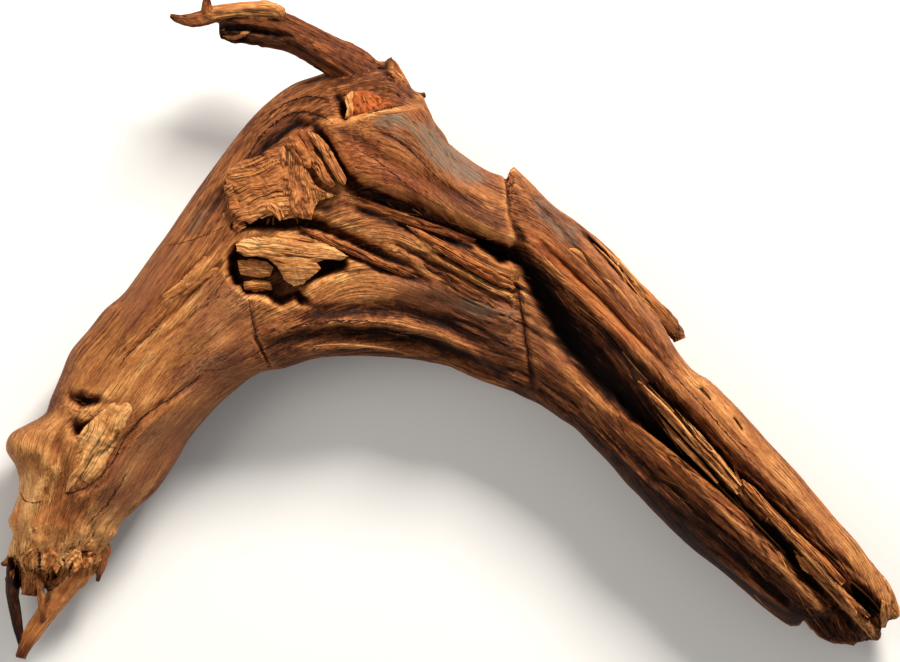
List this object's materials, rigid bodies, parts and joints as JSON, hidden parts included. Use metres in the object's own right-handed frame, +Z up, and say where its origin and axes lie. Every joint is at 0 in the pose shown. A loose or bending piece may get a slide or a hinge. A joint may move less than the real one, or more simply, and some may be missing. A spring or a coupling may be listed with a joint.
{
  "type": "piece of driftwood",
  "caption": "Bent, water-worn limb of driftwood lying on its back, with a knotted bend, a hooked side branch, a pronged root foot and a split, hollowed end.",
  "frame": {"origin": "centre of the bounding box's base: the middle of the piece on the ground, at the level of the flats that it lies on", "axes": "+Z up, +X from the pronged root foot towards the split far end, +Y from the open side of the bend towards its outside"},
  "size_m": [0.4498, 0.33, 0.0833],
  "materials": {
    "wood": "weathered, dry and fibrous"
  },
  "bodies": {
    "root": {"driftwood": "wood"}
  },
  "joints": []
}
